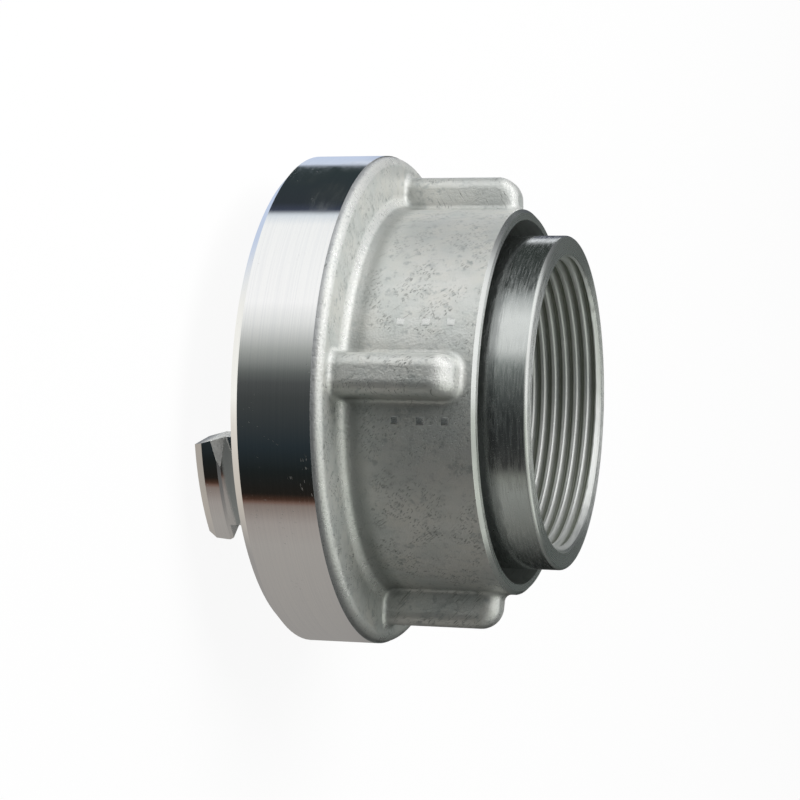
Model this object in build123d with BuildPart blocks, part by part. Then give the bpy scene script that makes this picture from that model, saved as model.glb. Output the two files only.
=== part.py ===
"""Symmetrical quarter-turn claw coupling, size 52, with a swivelling threaded socket.

The coupling stands on the tips of its two claws. Z is the axis of the waterway and
points to the threaded end. Z = 0 is the plane of the claw tips. Millimetres.
Both halves of such a joint are alike: each has two hooked claws and two windows, and
the claws of one half slide behind the lip of the other along a helical ramp.
"""
from build123d import *
from math import atan2, cos, degrees, hypot, radians, sin
import os

os.makedirs("parts", exist_ok=True)

# Socket: a turned piece with the waterway through it. The radii of the whole coupling
# follow from its thread, from the inside out
thread_minor_radius = 28.33   # pipe thread G 2, drawn as a plain bore
thread_length = 18.0
mouth_chamfer = 0.52
seat_width = 2.33             # step between the thread and the waterway
socket_length = 36.8          # from the rear edge of the band to the socket's end
socket_chamfer = 0.7
front_wall = 3.0              # outside the groove for the lip seal
front_recess = 0.5            # the socket's front face behind the coupling face
front_chamfer = 0.4

# Seals
seal_width = 3.3
seal_foot_step = 1.4          # the foot is wider than the lip
seal_foot_height = 2.8
seal_depth = 6.0              # groove floor behind the socket's front face
seal_stand = 0.7              # lip in front of the coupling face
seal_clearance = 0.1
seal_bore_step = 0.2          # the seal's bore outside the waterway
gasket_thickness = 3.0
gasket_width = 3.4
gasket_bore_step = 0.6
gasket_clearance = 0.15

# Claws: two hooked lugs, 66 mm apart inside, noses turned outward
mate_clearance = 0.3          # radial, between the socket and the claws
claw_height = 10.0            # claw tips in front of the coupling face
claw_neck_width = 5.0
claw_hook = 4.0               # how far the nose stands out from the neck
claw_nose_thickness = 5.2     # along the axis
claw_arc = 29.1               # degrees that each claw takes up
claw_start = 287.95           # angle of the first claw's leading end
tip_chamfer_radial = 1.5      # on the outer front edge of the nose
tip_chamfer_axial = 1.9
nose_edge_break = 0.5         # on the outer rear edge of the nose
tip_inner_break = 0.5
leading_taper_axial = 3.6     # the leading end is tapered at the tip
leading_taper_width = 1.0
trailing_taper_axial = 4.2    # and so is the trailing end, a little
trailing_taper_width = 0.6
lead_in_depth = 1.4           # facet that lets the nose start behind the lip
lead_in_arc = 8.0             # degrees along the nose

# Head: the turned band, the lip with its windows and the channel behind the lip
band_width = 16.3             # from the coupling face to the rear edge of the band
band_wall = 6.4               # outside the channel
band_chamfer = 2.0
lip_clearance = 0.4           # between a mate's neck and the lip
lip_thickness = 3.8           # at the windows, where the ramp starts
lip_edge_break = 0.4
channel_clearance = 0.6       # around a mate's nose, outward and in depth
ramp_rise = 1.0               # thicker lip after a quarter turn
ramp_turn = 90.0              # degrees
ramp_sections = 6             # sections that the ramp is lofted through
ramp_lip_setback = 0.5        # the ramp stays behind the inner edge of the lip
window_clearance = 2.4        # degrees that a window is wider than a claw
window_corner = 1.5
web_thickness = 9.4           # flange between the channel and the rear bore
swivel_clearance = 0.08       # radial, socket in the head

# Cast rear: shoulder, skirt and four ribs for the hand or the wrench
turning_step = 0.2            # the cast rear is a little smaller than the turned band
shoulder_corner = 2.0
skirt_gap = 3.15              # between the socket and the skirt
skirt_wall = 2.05
skirt_length = 28.25          # from the rear edge of the band
skirt_fillet = 3.2
rim_chamfer = 0.7
bore_corner = 1.5
rib_count = 4
rib_setback = 3.85            # the ribs stay inside the band
rib_width = 8.6               # at its root in the skirt
rib_draft = 3.0               # degrees, for the mould
rib_end_step = 2.75           # the ribs end before the skirt does
rib_end_round = 4.4
rib_edge_round = 2.8
rib_root_fillet = 1.3

# Retaining ring: open spring ring of square wire, half in each groove
wire_half_width = 1.5
wire_edge_break = 0.3
wire_clearance = 0.04
ring_gap = 16.0               # degrees left open
ring_gap_middle = 50.0

# Radii, from the waterway outwards
waterway_radius = thread_minor_radius - seat_width
seal_bore_radius = waterway_radius + seal_bore_step
seal_lip_radius = seal_bore_radius + seal_width
seal_foot_radius = seal_lip_radius + seal_foot_step
seal_groove_radius = seal_lip_radius + seal_clearance
seal_undercut_radius = seal_foot_radius + seal_clearance
socket_front_radius = seal_groove_radius + front_wall + seal_clearance
claw_inner_radius = socket_front_radius + mate_clearance
claw_neck_radius = claw_inner_radius + claw_neck_width
claw_nose_radius = claw_neck_radius + claw_hook
lip_radius = claw_neck_radius + lip_clearance
channel_radius = claw_nose_radius + channel_clearance
band_radius = channel_radius + band_wall
cast_radius = band_radius - turning_step
rib_radius = band_radius - rib_setback
socket_radius = claw_inner_radius
head_bore_radius = socket_radius + swivel_clearance
skirt_bore_radius = socket_radius + skirt_gap
skirt_radius = skirt_bore_radius + skirt_wall
ring_radius = socket_radius + swivel_clearance / 2
ring_groove_half = wire_half_width + wire_clearance
head_groove_radius = ring_radius + ring_groove_half
socket_groove_radius = ring_radius - ring_groove_half
mouth_radius = thread_minor_radius + mouth_chamfer
gasket_bore_radius = waterway_radius + gasket_bore_step
gasket_radius = gasket_bore_radius + gasket_width
gasket_recess_radius = gasket_radius + gasket_clearance
merge = 1.0                   # how far pieces of one casting run into each other

# Levels along the axis
face_z = claw_height
nose_rear_z = claw_nose_thickness
lip_rear_z = face_z + lip_thickness
channel_floor_z = face_z + claw_height + channel_clearance
web_rear_z = channel_floor_z + web_thickness
band_rear_z = face_z + band_width
shoulder_z = band_rear_z + shoulder_corner
skirt_end_z = band_rear_z + skirt_length
rib_end_z = skirt_end_z - rib_end_step
socket_front_z = face_z + front_recess
socket_end_z = band_rear_z + socket_length
ring_z = channel_floor_z + web_thickness / 2
seal_floor_z = socket_front_z + seal_depth
thread_start_z = socket_end_z - thread_length
gasket_seat_z = thread_start_z - gasket_thickness - gasket_clearance


def radial_plane(angle):
    """Plane through the axis: local x runs outward at the angle, local y runs along Z."""
    a = radians(angle)
    return Plane(origin=(0, 0, 0), x_dir=(cos(a), sin(a), 0), z_dir=(sin(a), -cos(a), 0))


def on_circle(radius, angle, z):
    """Point at a radius, an angle in degrees and a height."""
    a = radians(angle)
    return Vector(radius * cos(a), radius * sin(a), z)


# One claw with its block, made from the angle 0, where its leading end is
with BuildPart() as claw:
    with BuildSketch(radial_plane(0)):
        with BuildLine():
            Polyline(
                (claw_inner_radius, tip_inner_break),
                (claw_inner_radius + tip_inner_break, 0),
                (claw_nose_radius - tip_chamfer_radial, 0),
                (claw_nose_radius, tip_chamfer_axial),
                (claw_nose_radius, nose_rear_z - nose_edge_break),
                (claw_nose_radius - nose_edge_break, nose_rear_z),
                (claw_neck_radius, nose_rear_z),
                (claw_neck_radius, face_z),
                (channel_radius + merge, face_z),
                (channel_radius + merge, channel_floor_z),
                (claw_inner_radius, channel_floor_z),
                close=True,
            )
        make_face()
    revolve(axis=Axis.Z, revolution_arc=claw_arc)

    # The leading end narrows towards the tip
    tip_edges = claw.edges().filter_by(lambda e: abs(e.center().Z) < 0.01)
    leading_tip_edge = tip_edges.filter_by(Axis.X).sort_by(Axis.Y)[0]
    leading_face = claw.faces().filter_by(Axis.Y).sort_by(Axis.Y)[0]
    chamfer(leading_tip_edge, leading_taper_axial, leading_taper_width, reference=leading_face)

    # The trailing end leans a little too, as it left the mould
    trailing_end = radial_plane(claw_arc)
    trailing_face = claw.faces().sort_by(lambda f: abs(f.center().dot(trailing_end.z_dir)))[0]
    trailing_tip_edge = trailing_face.edges().sort_by(Axis.Z)[0]
    chamfer(trailing_tip_edge, trailing_taper_axial, trailing_taper_width, reference=trailing_face)

    # One flat facet across the rear of the nose at its leading end
    facet_outer = on_circle(claw_nose_radius, 0, nose_rear_z - lead_in_depth)
    facet_neck = on_circle(claw_neck_radius, 0, nose_rear_z)
    facet_end = on_circle(claw_nose_radius, lead_in_arc, nose_rear_z)
    facet_normal = (facet_neck - facet_outer).cross(facet_end - facet_outer).normalized()
    if facet_normal.Z < 0:
        facet_normal = facet_normal * -1
    with BuildSketch(Plane(origin=facet_outer, x_dir=(facet_end - facet_outer), z_dir=facet_normal)):
        Rectangle(4 * claw_nose_thickness, 4 * claw_nose_thickness)
    extrude(amount=lead_in_depth, mode=Mode.SUBTRACT)

# Opening in the lip that a mate's claw enters, right behind this claw's trailing end
window_arc = claw_arc + window_clearance
with BuildPart() as window_cutter:
    with BuildSketch(radial_plane(0)):
        with BuildLine():
            Polyline(
                (lip_radius - merge, face_z - merge),
                (channel_radius, face_z - merge),
                (channel_radius, lip_rear_z + ramp_rise + merge),
                (lip_radius - merge, lip_rear_z + ramp_rise + merge),
                close=True,
            )
        make_face()
    revolve(axis=Axis.Z, revolution_arc=window_arc)
    outer_corners = window_cutter.edges().filter_by(Axis.Z).filter_by(
        lambda e: hypot(e.center().X, e.center().Y) > channel_radius - 0.1)
    fillet(outer_corners, window_corner)

# Ramp behind the lip, from the far edge of a window to the next claw
slide_arc = 180 - claw_arc - window_arc
ramp_inner_radius = lip_radius + ramp_lip_setback
ramp_width = channel_radius + merge - ramp_inner_radius
ramp_middle_radius = ramp_inner_radius + ramp_width / 2
ramp_height = ramp_rise + lip_thickness / 4
with BuildPart() as ramp:
    for step in range(ramp_sections + 1):
        climbed = step / ramp_sections
        with BuildSketch(radial_plane(climbed * ramp_turn)):
            with Locations((ramp_middle_radius, lip_rear_z + climbed * ramp_rise - ramp_height / 2)):
                Rectangle(ramp_width, ramp_height)
    loft()
    with BuildSketch(radial_plane(ramp_turn)):
        with Locations((ramp_middle_radius, lip_rear_z + ramp_rise - ramp_height / 2)):
            Rectangle(ramp_width, ramp_height)
    revolve(axis=Axis.Z, revolution_arc=slide_arc - ramp_turn + merge)

# One rib, pointing along X, drafted and rounded as it leaves the mould
with BuildPart() as rib:
    rib_root_radius = skirt_radius - skirt_wall / 2
    rib_bottom_z = shoulder_z - merge
    with BuildSketch(Plane(origin=(rib_root_radius, 0, 0), x_dir=(0, 1, 0), z_dir=(1, 0, 0))):
        with Locations((0, (rib_bottom_z + rib_end_z) / 2)):
            Rectangle(rib_width, rib_end_z - rib_bottom_z)
    extrude(amount=rib_radius - rib_root_radius, taper=rib_draft)
    top_cross_edges = rib.edges().filter_by(Axis.Y).group_by(Axis.X)[-1]
    fillet(top_cross_edges.sort_by(Axis.Z)[-1], rib_end_round)
    top_face = rib.faces().sort_by(Axis.X)[-1]
    fillet(top_face.edges().filter_by(lambda e: abs(e.center().Y) > rib_width / 4), rib_edge_round)


def touches_rib_root(edge):
    """True for an edge where a rib meets the shoulder, the skirt or the fillet between them."""
    middle = edge.position_at(0.5)
    radius = hypot(middle.X, middle.Y)
    angle = degrees(atan2(middle.Y, middle.X))
    turn = 360 / rib_count
    off_rib = abs((angle + turn / 2) % turn - turn / 2)
    near_rib = off_rib < degrees(rib_width / rib_radius)
    on_skirt = abs(radius - skirt_radius) < 0.02
    on_shoulder = abs(middle.Z - shoulder_z) < 0.02 and radius < rib_radius + 0.1
    from_centre = hypot(radius - skirt_radius - skirt_fillet, middle.Z - shoulder_z - skirt_fillet)
    in_corner = abs(from_centre - skirt_fillet) < 0.02 and radius < skirt_radius + skirt_fillet
    behind_shoulder = shoulder_z - 0.1 < middle.Z < rib_end_z + 0.1
    return near_rib and behind_shoulder and (on_skirt or on_shoulder or in_corner)


# The casting as turned: head, lip, channel, flange, shoulder and skirt
with BuildPart() as turned_casting:
    with BuildSketch(radial_plane(180 / rib_count)):
        with BuildLine():
            Polyline(
                (lip_radius, lip_rear_z),
                (lip_radius, face_z + lip_edge_break),
                (lip_radius + lip_edge_break, face_z),
                (band_radius - band_chamfer, face_z),
                (band_radius, face_z + band_chamfer),
                (band_radius, band_rear_z),
                (cast_radius, band_rear_z),
            )
            TangentArc(
                (cast_radius, band_rear_z),
                (cast_radius - shoulder_corner, shoulder_z),
                tangent=(0, 1),
            )
            Line((cast_radius - shoulder_corner, shoulder_z), (skirt_radius + skirt_fillet, shoulder_z))
            TangentArc(
                (skirt_radius + skirt_fillet, shoulder_z),
                (skirt_radius, shoulder_z + skirt_fillet),
                tangent=(-1, 0),
            )
            Polyline(
                (skirt_radius, shoulder_z + skirt_fillet),
                (skirt_radius, skirt_end_z - rim_chamfer),
                (skirt_radius - rim_chamfer, skirt_end_z),
                (skirt_bore_radius, skirt_end_z),
                (skirt_bore_radius, web_rear_z + bore_corner),
                (skirt_bore_radius - bore_corner, web_rear_z),
                (head_bore_radius, web_rear_z),
                (head_bore_radius, ring_z + ring_groove_half),
                (head_groove_radius, ring_z + ring_groove_half),
                (head_groove_radius, ring_z - ring_groove_half),
                (head_bore_radius, ring_z - ring_groove_half),
                (head_bore_radius, channel_floor_z),
                (channel_radius, channel_floor_z),
                (channel_radius, lip_rear_z),
                (lip_radius, lip_rear_z),
            )
        make_face()
    revolve(axis=Axis.Z)

# Windows, ramps, claws and ribs join the casting one at a time
casting = turned_casting.part
for half_turn in (0, 180):
    claw_angle = claw_start + half_turn
    window_angle = claw_angle + claw_arc
    casting -= window_cutter.part.rotate(Axis.Z, window_angle)
    casting += ramp.part.rotate(Axis.Z, window_angle + window_arc)
    casting += claw.part.rotate(Axis.Z, claw_angle)
for number in range(rib_count):
    casting += rib.part.rotate(Axis.Z, number * 360 / rib_count)

# The lug ring: the whole casting, with a small root round each rib
with BuildPart() as lug_ring:
    add(casting)
    fillet(lug_ring.edges().filter_by(touches_rib_root), rib_root_fillet)

# The threaded socket: one turned piece that swivels in the lug ring
undercut_z = seal_floor_z - seal_foot_height - seal_clearance
with BuildPart() as threaded_socket:
    with BuildSketch(Plane.XZ):
        with BuildLine():
            Polyline(
                (waterway_radius, seal_floor_z),
                (seal_undercut_radius, seal_floor_z),
                (seal_undercut_radius, undercut_z),
                (seal_groove_radius, undercut_z),
                (seal_groove_radius, socket_front_z),
                (socket_front_radius - front_chamfer, socket_front_z),
                (socket_front_radius, socket_front_z + front_chamfer),
                (socket_front_radius, channel_floor_z),
                (socket_radius, channel_floor_z + mate_clearance),
                (socket_radius, ring_z - ring_groove_half),
                (socket_groove_radius, ring_z - ring_groove_half),
                (socket_groove_radius, ring_z + ring_groove_half),
                (socket_radius, ring_z + ring_groove_half),
                (socket_radius, socket_end_z - socket_chamfer),
                (socket_radius - socket_chamfer, socket_end_z),
                (mouth_radius, socket_end_z),
                (thread_minor_radius, socket_end_z - mouth_chamfer),
                (thread_minor_radius, thread_start_z),
                (gasket_recess_radius, thread_start_z),
                (gasket_recess_radius, gasket_seat_z),
                (waterway_radius, gasket_seat_z),
                close=True,
            )
        make_face()
    revolve(axis=Axis.Z)

# The retaining ring, open at one place so that it can be squeezed into its groove
with BuildPart() as retaining_ring:
    with BuildSketch(radial_plane(ring_gap_middle + ring_gap / 2)):
        with Locations((ring_radius, ring_z)):
            Rectangle(2 * wire_half_width, 2 * wire_half_width)
        chamfer(vertices(), wire_edge_break)
    revolve(axis=Axis.Z, revolution_arc=360 - ring_gap)

# The lip seal: its foot snaps into the socket's undercut, its lip meets the mate's seal
seal_front_z = face_z - seal_stand
seal_back_z = seal_floor_z - seal_clearance / 2
with BuildPart() as lip_seal:
    with BuildSketch(Plane.XZ):
        with BuildLine():
            Polyline(
                (seal_bore_radius, seal_back_z),
                (seal_foot_radius, seal_back_z),
                (seal_foot_radius, seal_back_z - seal_foot_height + seal_clearance),
                (seal_lip_radius, seal_back_z - seal_foot_height + seal_clearance),
                (seal_lip_radius, seal_front_z + seal_stand),
                (seal_lip_radius - seal_stand, seal_front_z),
                (seal_bore_radius + seal_stand, seal_front_z),
                (seal_bore_radius, seal_front_z + 2 * seal_stand),
                close=True,
            )
        make_face()
    revolve(axis=Axis.Z)

# The flat gasket at the bottom of the thread, which the end of the pipe presses on
with BuildPart() as thread_gasket:
    with BuildSketch(Plane.XY.offset(gasket_seat_z + gasket_clearance / 3)):
        Circle(gasket_radius)
        Circle(gasket_bore_radius, mode=Mode.SUBTRACT)
    extrude(amount=gasket_thickness)

lug_ring.part.label = "lug_ring"
threaded_socket.part.label = "threaded_socket"
retaining_ring.part.label = "retaining_ring"
lip_seal.part.label = "lip_seal"
thread_gasket.part.label = "thread_gasket"
export_step(lug_ring.part, "parts/lug_ring.step")
export_step(threaded_socket.part, "parts/threaded_socket.step")
export_step(retaining_ring.part, "parts/retaining_ring.step")
export_step(lip_seal.part, "parts/lip_seal.step")
export_step(thread_gasket.part, "parts/thread_gasket.step")
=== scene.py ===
# %% [markdown]
# # A quarter-turn hose coupling
#
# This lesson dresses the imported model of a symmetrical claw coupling: an aluminium
# lug ring with two hooked claws, and a threaded socket that swivels in it. The model
# comes in as a fixed frame, in metres, standing on the tips of its claws with the
# thread upward. Everything below adds looks: light, finishes, and the few shapes that
# the plain model leaves out: the cut pipe thread, the whole necks of the claws, and six
# small marks of the mould.

# %% Load the frame and measure it
from math import cos, exp, hypot, pi, radians, sin

import bmesh
import bpy
from mathutils import Matrix, Vector


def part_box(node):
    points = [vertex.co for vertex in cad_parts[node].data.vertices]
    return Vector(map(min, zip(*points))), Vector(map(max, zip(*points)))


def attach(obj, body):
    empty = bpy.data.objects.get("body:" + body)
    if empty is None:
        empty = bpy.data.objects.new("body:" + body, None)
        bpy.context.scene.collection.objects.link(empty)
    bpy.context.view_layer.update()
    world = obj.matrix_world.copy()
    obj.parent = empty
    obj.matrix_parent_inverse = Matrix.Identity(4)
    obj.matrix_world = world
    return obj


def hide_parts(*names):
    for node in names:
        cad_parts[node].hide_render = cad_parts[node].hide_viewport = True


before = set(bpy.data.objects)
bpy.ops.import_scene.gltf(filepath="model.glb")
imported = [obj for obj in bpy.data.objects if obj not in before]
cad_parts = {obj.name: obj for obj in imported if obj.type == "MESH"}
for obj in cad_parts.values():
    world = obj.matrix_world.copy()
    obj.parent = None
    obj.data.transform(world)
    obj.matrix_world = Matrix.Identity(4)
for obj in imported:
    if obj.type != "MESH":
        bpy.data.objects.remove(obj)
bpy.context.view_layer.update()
MM = 0.001
lug_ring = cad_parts["lug_ring"]
print("nodes:", sorted(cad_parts))

# %% [markdown]
# ## Camera
#
# The coupling is looked at from the side and a little from the threaded end. A long
# lens keeps the circles nearly as flat as in a catalogue picture. The model stands
# upright, so the camera lies on its side: the axis of the coupling then runs from left
# to right. The camera could be placed by eye, but a few angles and one distance say it
# exactly: how far it is turned round the axis, how far it rises toward the thread, how
# far it is rolled, and where the rear edge of the turned band lies in front of it.

# %% Set up the camera
VIEW_AZIMUTH = radians(276.65)
VIEW_RISE = radians(17.3)
VIEW_ROLL = radians(1.07)
SENSOR_WIDTH = 36
LENS_PER_FRAME = 2476.68 / 800  # focal length, counted in widths of the picture
AIM_HEIGHT = 26.3 * MM
AIM_IN_CAMERA = Vector((-1.939, 0.057, -499.99)) * MM


def place_camera():
    """Puts the camera on its side, with the coupling's axis pointing right."""
    axis = Vector((cos(VIEW_RISE) * cos(VIEW_ROLL), -cos(VIEW_RISE) * sin(VIEW_ROLL),
                   sin(VIEW_RISE)))
    up = Vector((0, 1, 0))
    side = (up - axis * up.dot(axis)).normalized()
    near = side.cross(axis) * -1
    towards = Vector((cos(VIEW_AZIMUTH), sin(VIEW_AZIMUTH), 0))
    above = Vector((sin(VIEW_AZIMUTH), -cos(VIEW_AZIMUTH), 0))
    in_camera = Matrix((axis, side, near)).transposed()
    in_world = Matrix((Vector((0, 0, 1)), above, towards)).transposed()
    turn = in_world @ in_camera.transposed()
    data = bpy.data.cameras.new("camera")
    data.sensor_width = SENSOR_WIDTH
    data.lens = SENSOR_WIDTH * LENS_PER_FRAME
    data.clip_start = 0.02
    camera = bpy.data.objects.new("camera", data)
    bpy.context.scene.collection.objects.link(camera)
    place = Vector((0, 0, AIM_HEIGHT)) - turn @ AIM_IN_CAMERA
    camera.matrix_world = Matrix.Translation(place) @ turn.to_4x4()
    bpy.context.scene.camera = camera
    return camera


camera = place_camera()
print("camera at", [round(v, 3) for v in camera.location], "lens", round(camera.data.lens, 1))

# %% [markdown]
# ## Studio: the room that the metal mirrors
#
# Polished metal has hardly any colour of its own: what one sees on it is the room. A
# turned band shows the room as stripes along its length, so the room is designed as
# stripes too: a wide soft window above, a dark gap, a narrow cold window, a dark room
# in front and a grey table below. A room changes with height as well, so there are five
# tables of stripes, from the floor up to the ceiling, blended into each other. Matt
# surfaces only need the broad light, so a sixth, simple table serves the diffuse rays.
# Lamps could stand for all this, but a world shader gives each stripe a clean edge in a
# few nodes. It uses directions in the room, not in the camera, so the stripes stay
# where they are when one walks round. Rays that come straight from the camera see plain
# white instead: that is the background of the picture.

# %% Stripes of the room
# Angles run round the coupling, from the side that faces the camera upward. The
# colours are light, not paint, as red, green and blue.
DEEP_STRIPES = [
    (-180, (0.95, 0.94, 0.89)),
    (-168, (0.76, 0.72, 0.66)),
    (-153, (0.56, 0.51, 0.45)),
    (-115, (0.20, 0.19, 0.18)),
    (-60, (0.10, 0.10, 0.10)),
    (0, (0.12, 0.12, 0.12)),
    (50, (0.45, 0.45, 0.44)),
    (100, (0.80, 0.80, 0.78)),
    (180, (0.95, 0.94, 0.89)),
]
LOW_STRIPES = [
    (-180, (0.29, 0.28, 0.27)),
    (-72, (0.35, 0.33, 0.31)),
    (-60, (0.33, 0.30, 0.28)),
    (-50, (0.21, 0.17, 0.15)),
    (-49, (0.15, 0.08, 0.06)),
    (-48, (0.06, 0.03, 0.02)),
    (-45, (0.014, 0.012, 0.010)),
    (-34, (0.012, 0.015, 0.015)),
    (-22, (0.020, 0.028, 0.033)),
    (0, (0.05, 0.055, 0.055)),
    (7, (0.07, 0.075, 0.075)),
    (12, (0.12, 0.13, 0.125)),
    (22, (0.35, 0.365, 0.35)),
    (35, (0.75, 0.76, 0.75)),
    (45, (0.95, 0.95, 0.95)),
    (88, (0.92, 0.93, 0.93)),
    (95, (0.70, 0.75, 0.80)),
    (98, (0.05, 0.06, 0.09)),
    (104, (0.03, 0.037, 0.044)),
    (141, (0.03, 0.043, 0.045)),
    (146, (0.60, 0.67, 0.80)),
    (168, (0.54, 0.63, 0.81)),
    (180, (0.29, 0.28, 0.27)),
]
LEVEL_STRIPES = [
    (-180, (0.04, 0.04, 0.04)),
    (-150, (0.012, 0.014, 0.013)),
    (-130, (0.030, 0.033, 0.030)),
    (-113, (0.075, 0.080, 0.075)),
    (-94, (0.19, 0.195, 0.18)),
    (-62, (0.34, 0.35, 0.33)),
    (-51, (0.28, 0.29, 0.26)),
    (-45, (0.04, 0.04, 0.04)),
    (-8, (0.026, 0.030, 0.030)),
    (19, (0.13, 0.145, 0.14)),
    (26, (0.21, 0.235, 0.225)),
    (35, (0.90, 0.91, 0.90)),
    (58, (0.96, 0.97, 0.96)),
    (75, (0.48, 0.50, 0.50)),
    (84, (0.05, 0.058, 0.055)),
    (140, (0.04, 0.048, 0.044)),
    (143, (0.95, 0.97, 1.0)),
    (150, (0.95, 0.97, 1.0)),
    (153, (0.10, 0.11, 0.15)),
    (180, (0.04, 0.04, 0.04)),
]
MIDDLE_STRIPES = [
    (-180, (0.105, 0.115, 0.11)),
    (-165, (0.06, 0.07, 0.066)),
    (-148, (0.10, 0.105, 0.10)),
    (-80, (0.19, 0.195, 0.185)),
    (-30, (0.11, 0.115, 0.11)),
    (4, (0.13, 0.135, 0.13)),
    (24, (0.50, 0.51, 0.50)),
    (45, (0.88, 0.89, 0.88)),
    (75, (0.94, 0.95, 0.94)),
    (95, (0.80, 0.81, 0.81)),
    (115, (0.28, 0.285, 0.29)),
    (140, (0.125, 0.130, 0.135)),
    (180, (0.105, 0.115, 0.11)),
]
HIGH_STRIPES = [
    (-180, (0.95, 0.96, 0.95)),
    (-140, (0.66, 0.69, 0.64)),
    (-25, (0.52, 0.55, 0.50)),
    (0, (0.80, 0.81, 0.79)),
    (15, (0.97, 0.97, 0.96)),
    (45, (1.0, 1.0, 1.0)),
    (100, (1.0, 1.0, 1.0)),
    (125, (0.66, 0.67, 0.68)),
    (150, (0.50, 0.51, 0.52)),
    (180, (0.95, 0.96, 0.95)),
]
MATT_STRIPES = [
    (-180, (0.10, 0.10, 0.10)),
    (-90, (0.02, 0.02, 0.02)),
    (-20, (0.08, 0.08, 0.08)),
    (0, (0.13, 0.13, 0.13)),
    (90, (1.0, 1.0, 0.98)),
    (150, (0.60, 0.61, 0.60)),
    (180, (0.10, 0.10, 0.10)),
]

ROOM = {"deep": DEEP_STRIPES, "low": LOW_STRIPES, "level": LEVEL_STRIPES,
        "middle": MIDDLE_STRIPES, "high": HIGH_STRIPES, "matt": MATT_STRIPES}
# Where each table takes over from the one below, as the upward part of a direction.
HEIGHTS = [("low", -0.88, -0.68), ("level", -0.315, -0.275), ("middle", -0.12, 0.08),
           ("high", 0.56, 0.72)]
for name, table in ROOM.items():
    print(name, "stripes:", len(table))

# %% [markdown]
# ## Short words for shader nodes
#
# A material, or a world, is a tree of small nodes. They can be placed by hand in the
# node editor, but then the numbers hide behind many clicks. Here a few helpers write
# each node in one line, so that a finish reads like a recipe.

# %% Helpers for node trees
def add_node(tree, kind, **settings):
    """Adds a node and sets what is named: properties by name, sockets as in_NAME."""
    node = tree.nodes.new(kind)
    for key, value in settings.items():
        if key.startswith("in_"):
            node.inputs[key[3:].replace("_", " ")].default_value = value
        else:
            setattr(node, key, value)
    return node


def calc(tree, operation, first, second=None, third=None):
    """One Math node. Each value is a number or the output of another node."""
    node = add_node(tree, "ShaderNodeMath", operation=operation)
    for place, value in enumerate((first, second, third)):
        if value is None:
            continue
        if isinstance(value, (int, float)):
            node.inputs[place].default_value = value
        else:
            tree.links.new(value, node.inputs[place])
    return node.outputs[0]


def stripes(tree, turn, table):
    """A colour ramp round the room, from -180 to 180 degrees."""
    ramp = add_node(tree, "ShaderNodeValToRGB")
    stops = ramp.color_ramp.elements
    for number, (angle, colour) in enumerate(table):
        place = (angle + 180) / 360
        stop = stops[number] if number < 2 else stops.new(place)
        stop.position = place
        stop.color = (*colour, 1)
    tree.links.new(turn, ramp.inputs[0])
    return ramp.outputs[0]


def blend_colours(tree, amount, first, second):
    """Mixes two colours, each a triple or the output of another node."""
    node = add_node(tree, "ShaderNodeMix", data_type="RGBA")
    for place, value in ((0, amount), (6, first), (7, second)):
        if isinstance(value, (int, float)):
            node.inputs[place].default_value = value
        elif isinstance(value, tuple):
            node.inputs[place].default_value = (*value, 1)
        else:
            tree.links.new(value, node.inputs[place])
    return node.outputs[2]


def rise(tree, value, start, end):
    """Goes smoothly from 0 to 1 as a value goes from start to end."""
    node = add_node(tree, "ShaderNodeMapRange", interpolation_type="SMOOTHSTEP")
    node.inputs["From Min"].default_value = start
    node.inputs["From Max"].default_value = end
    tree.links.new(value, node.inputs["Value"])
    return node.outputs[0]


print("helpers:", [helper.__name__ for helper in (add_node, calc, stripes, blend_colours, rise)])

# %% [markdown]
# ## Build the room
#
# The world is asked for a colour in every direction. The direction gives two numbers:
# how far round it points, which picks the stripe, and how high, which picks the table.
# The Light Path node tells what kind of ray asks, so that matt surfaces, mirrors and the
# camera can each get their own answer.

# %% Build the room
def seen_directly(tree, rays):
    """1 for rays that come straight from the camera, or through something clear."""
    return calc(tree, "MAXIMUM", rays.outputs["Is Camera Ray"],
                rays.outputs["Is Transmission Ray"])


def build_room():
    world = bpy.data.worlds.new("studio")
    bpy.context.scene.world = world
    world.use_nodes = True
    tree = world.node_tree
    tree.nodes.clear()
    direction = add_node(tree, "ShaderNodeTexCoord").outputs["Generated"]
    parts = add_node(tree, "ShaderNodeSeparateXYZ")
    tree.links.new(direction, parts.inputs[0])
    compass = calc(tree, "ARCTAN2", parts.outputs["Y"], parts.outputs["X"])
    turn = calc(tree, "MULTIPLY_ADD", compass, -1 / (2 * pi), VIEW_AZIMUTH / (2 * pi) + 0.5)
    turn = calc(tree, "FRACT", turn)
    height = parts.outputs["Z"]
    room = stripes(tree, turn, ROOM["deep"])
    for name, start, end in HEIGHTS:
        amount = rise(tree, height, start, end)
        room = blend_colours(tree, amount, room, stripes(tree, turn, ROOM[name]))
    rays = add_node(tree, "ShaderNodeLightPath")
    matt = stripes(tree, turn, ROOM["matt"])
    seen = blend_colours(tree, rays.outputs["Is Diffuse Ray"], room, matt)
    seen = blend_colours(tree, seen_directly(tree, rays), seen, (1.0, 1.0, 1.0))
    shine = add_node(tree, "ShaderNodeBackground")
    tree.links.new(seen, shine.inputs["Color"])
    output = add_node(tree, "ShaderNodeOutputWorld")
    tree.links.new(shine.outputs[0], output.inputs["Surface"])
    return world


room = build_room()
bpy.context.scene.view_settings.view_transform = "Standard"
print("room nodes:", len(room.node_tree.nodes))

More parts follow.
